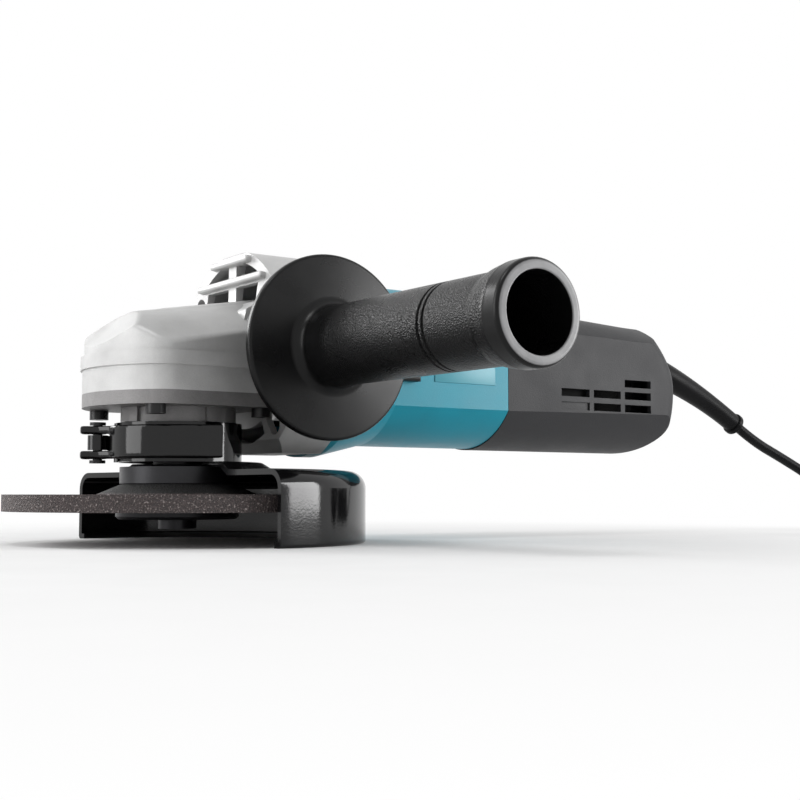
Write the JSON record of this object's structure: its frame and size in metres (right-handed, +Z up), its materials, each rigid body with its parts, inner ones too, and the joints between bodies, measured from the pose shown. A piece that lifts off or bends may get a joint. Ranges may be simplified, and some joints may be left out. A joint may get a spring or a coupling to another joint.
{
  "type": "angle grinder",
  "caption": "Corded angle grinder with an alloy bevel-gear head, guarded depressed-centre wheel, flanged side handle and slide switch, for grinding and cutting metal",
  "frame": {"origin": "centre of the lock nut's outer face, on the spindle axis", "axes": "+Z up the spindle to the gear head, +X from the gear head to the tail along the motor, side handle towards -Y"},
  "size_m": [0.4886, 0.2345, 0.1103],
  "materials": {
    "cast_alloy": "satin",
    "dark_alloy": "satin",
    "black_paint": "gloss",
    "black_steel": "satin",
    "bright_steel": "satin",
    "dark_steel": "satin",
    "core_steel": "satin",
    "abrasive": "matte",
    "bronze": "satin",
    "copper": "satin",
    "teal_shell": "satin",
    "grey_shell": "matte",
    "handle_shell": "matte",
    "black_plastic": "satin",
    "carbon": "matte",
    "film_case": "gloss",
    "cord_rubber": "satin"
  },
  "bodies": {
    "body": {"gear_housing": "cast_alloy", "bearing_box": "dark_alloy", "bearing_box_screws": "black_steel", "spindle_bearing": "bright_steel", "bearing_retainer": "dark_steel", "dust_ring": "black_plastic", "top_bush": "bronze", "lock_spring": "bright_steel", "side_handle": "handle_shell", "handle_stud": "bright_steel", "housing_screws": "dark_steel", "front_bearing": "bright_steel", "rear_bearing": "bright_steel", "stator_core": "core_steel", "field_coils": "copper", "baffle_ring": "black_plastic", "brush_holders": "bronze", "carbon_brushes": "carbon", "brush_springs": "bright_steel", "motor_housing": "teal_shell", "tail_cover": "grey_shell", "tail_screw": "dark_steel", "switch_block": "black_plastic", "capacitor": "film_case", "cord_clamp": "black_plastic", "cord_clamp_screws": "dark_steel", "inner_lead": "cord_rubber", "cord_boot": "cord_rubber", "cord": "cord_rubber", "cord_coil": "cord_rubber", "cord_tie": "black_plastic", "cord_end": "cord_rubber", "plug_body": "cord_rubber", "plug_pins": "bright_steel"},
    "spindle_set": {"spindle": "bright_steel", "bevel_gear": "dark_steel", "gear_circlip": "dark_steel", "inner_flange": "dark_steel", "grinding_wheel": "abrasive", "lock_nut": "dark_steel"},
    "armature": {"armature_shaft": "bright_steel", "pinion": "dark_steel", "pinion_nut": "bright_steel", "armature_core": "core_steel", "armature_windings": "copper", "commutator": "copper", "cooling_fan": "black_plastic"},
    "guard": {"guard_shell": "black_paint", "guard_collar": "black_paint", "lever_pin": "black_steel"},
    "lever": {"clamp_lever": "black_paint"},
    "switch": {"switch_knob": "black_plastic", "switch_rod": "black_plastic"},
    "lock": {"lock_button": "black_plastic", "lock_pin": "bright_steel"}
  },
  "joints": [
    {"name": "spindle_spin", "type": "hinge", "parent": "body", "child": "spindle_set", "pos_m": [0, 0, 0.0265], "axis": [0, 0, 1], "continuous": true},
    {"name": "armature_spin", "type": "hinge", "parent": "body", "child": "armature", "pos_m": [0.09, 0, 0.061], "axis": [1, 0, 0], "continuous": true},
    {"name": "guard_swivel", "type": "hinge", "parent": "body", "child": "guard", "pos_m": [0, 0, 0.0265], "axis": [0, 0, 1], "range_deg": [-75, 30]},
    {"name": "lever_open", "type": "hinge", "parent": "guard", "child": "lever", "pos_m": [-0.02754, 0.0097, 0.02775], "axis": [0, 0, -1], "range_deg": [0, 100]},
    {"name": "switch_slide", "type": "slide", "parent": "body", "child": "switch", "axis": [-1, 0, 0], "range_m": [0, 0.006]},
    {"name": "lock_press", "type": "slide", "parent": "body", "child": "lock", "axis": [0, 0, -1], "range_m": [0, 0.004], "stiffness_N_per_m": 800, "springref_m": -0.003, "deforming": ["lock_spring"]}
  ],
  "couplings": [
    {"joint": "armature_spin", "follows": "spindle_spin", "ratio": 3}
  ]
}
